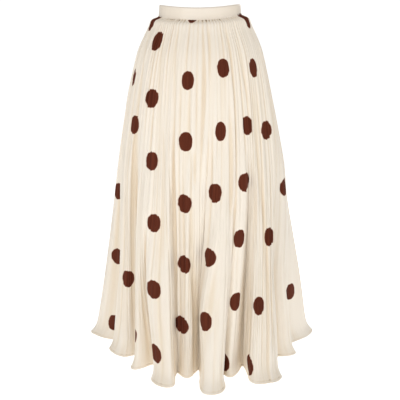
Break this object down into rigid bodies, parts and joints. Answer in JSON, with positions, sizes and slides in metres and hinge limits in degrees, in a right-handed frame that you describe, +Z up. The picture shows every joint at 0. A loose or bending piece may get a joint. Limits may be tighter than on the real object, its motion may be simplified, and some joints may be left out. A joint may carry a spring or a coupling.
{
  "type": "pleated maxi skirt",
  "caption": "Long gathered and finely pleated skirt with a flat waistband, deep folds that open to a wavy flared hem, and a concealed zip at the centre back.",
  "frame": {"origin": "middle of the waist opening, level with the top of the waistband at the wearer's sides", "axes": "+Z up through the waist, -Y towards the skirt's front, +X towards the wearer's left"},
  "size_m": [0.7329, 0.7264, 1.0423],
  "materials": {
    "pleated_satin": "soft satin, cream with large brown dots",
    "waistband_satin": "smooth satin, plain cream",
    "zip_tape": "woven tape, cream",
    "zip_metal": "cream enamel"
  },
  "bodies": {
    "skirt": {"waistband": "waistband_satin", "skirt_front": "pleated_satin", "skirt_back_left": "pleated_satin", "skirt_back_right": "pleated_satin", "zip_tape_left": "zip_tape", "zip_tape_right": "zip_tape", "zip_slider": "zip_metal"},
    "pull": {"zip_pull": "zip_metal"}
  },
  "joints": [
    {"name": "pull_hinge", "type": "hinge", "parent": "skirt", "child": "pull", "pos_m": [0, 0.08729, -0.02096], "axis": [1, 0, 0], "range_deg": [0, 165]}
  ]
}
